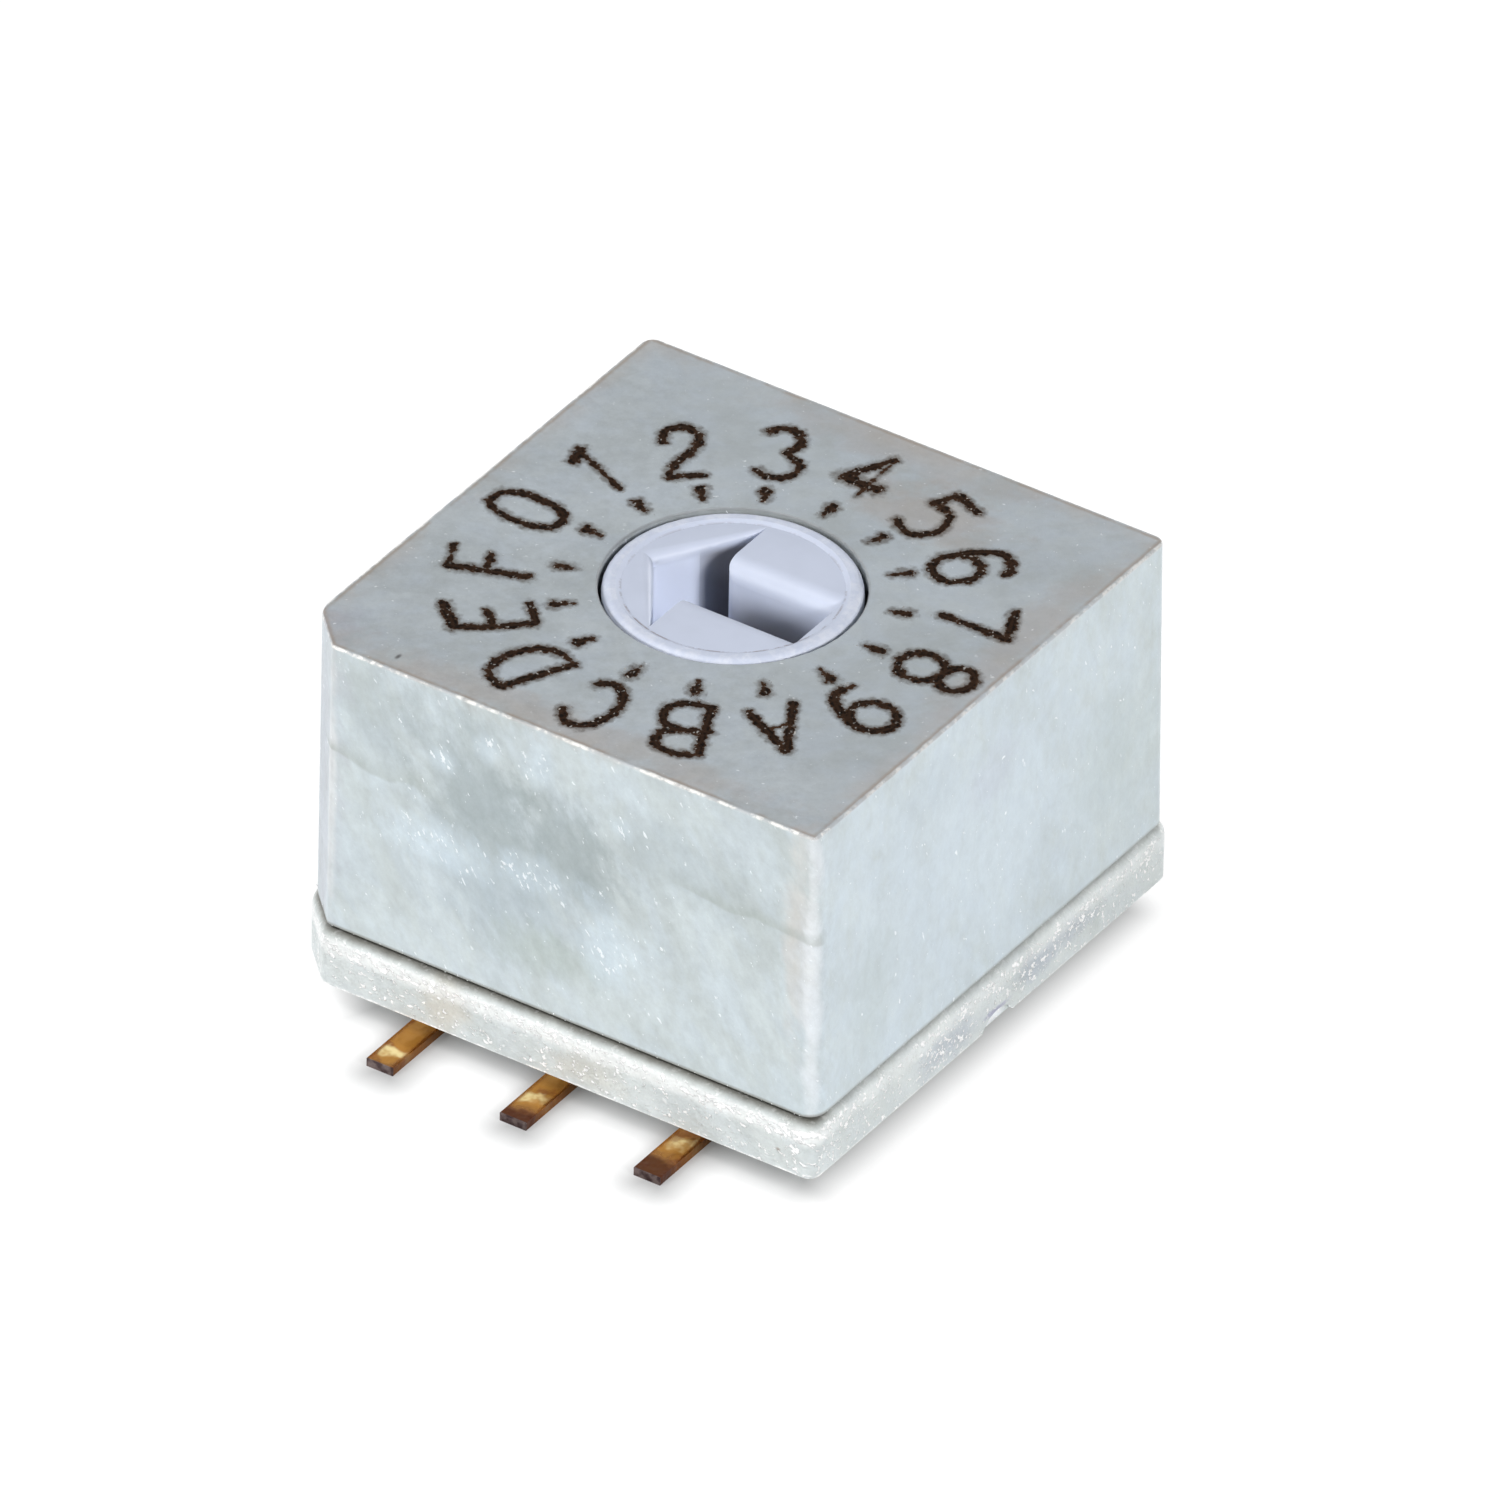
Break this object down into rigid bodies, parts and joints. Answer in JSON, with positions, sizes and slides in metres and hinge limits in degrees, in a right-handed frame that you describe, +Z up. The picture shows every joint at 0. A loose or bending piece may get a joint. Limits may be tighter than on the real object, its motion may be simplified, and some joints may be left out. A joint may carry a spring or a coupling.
{
  "type": "rotary dip switch",
  "caption": "Sealed square rotary coded switch for surface mounting, with a flush driver-slot rotor, a hexadecimal dial and flat solder feet on two sides.",
  "frame": {"origin": "centre of the switch's footprint, on the plane of its solder feet", "axes": "+Z up through the dial, +Y along the feet, away from the key corner's side, with the dial's 0 and the rotor's arrow towards -X"},
  "size_m": [0.0102, 0.012, 0.0069],
  "materials": {
    "housing_moulding": "light grey-blue moulding with a marbled, slightly sparkling glass fill",
    "base_moulding": "the housing's marbled moulding, a little brighter and rougher",
    "sealing_bead": "dark cured sealing bead",
    "rotor_moulding": "satin lavender moulding",
    "seal_rubber": "black silicone",
    "spring_steel": "bright rolled spring strip",
    "disc_moulding": "black moulding",
    "gold_plate": "gold plate on stamped copper alloy",
    "gold_contact": "gold plate on sprung copper alloy",
    "gold_terminal": "gold plate, tarnished amber to brown towards the cut tips"
  },
  "bodies": {
    "case": {"housing": "housing_moulding", "base": "base_moulding", "joint_seal": "sealing_bead", "shaft_seal": "seal_rubber", "detent_spring": "spring_steel", "contact_common": "gold_contact", "contact_1": "gold_contact", "contact_2": "gold_contact", "contact_4": "gold_contact", "contact_8": "gold_contact", "terminal_common": "gold_terminal", "terminal_1": "gold_terminal", "terminal_2": "gold_terminal", "terminal_4": "gold_terminal", "terminal_8": "gold_terminal"},
    "rotor": {"rotor": "rotor_moulding", "code_disc": "disc_moulding", "code_plate": "gold_plate"}
  },
  "joints": [
    {"name": "rotor_turn", "type": "hinge", "parent": "case", "child": "rotor", "pos_m": [0, 0, 0.00692], "axis": [0, 0, 1], "continuous": true, "deforming": ["detent_spring"]}
  ]
}
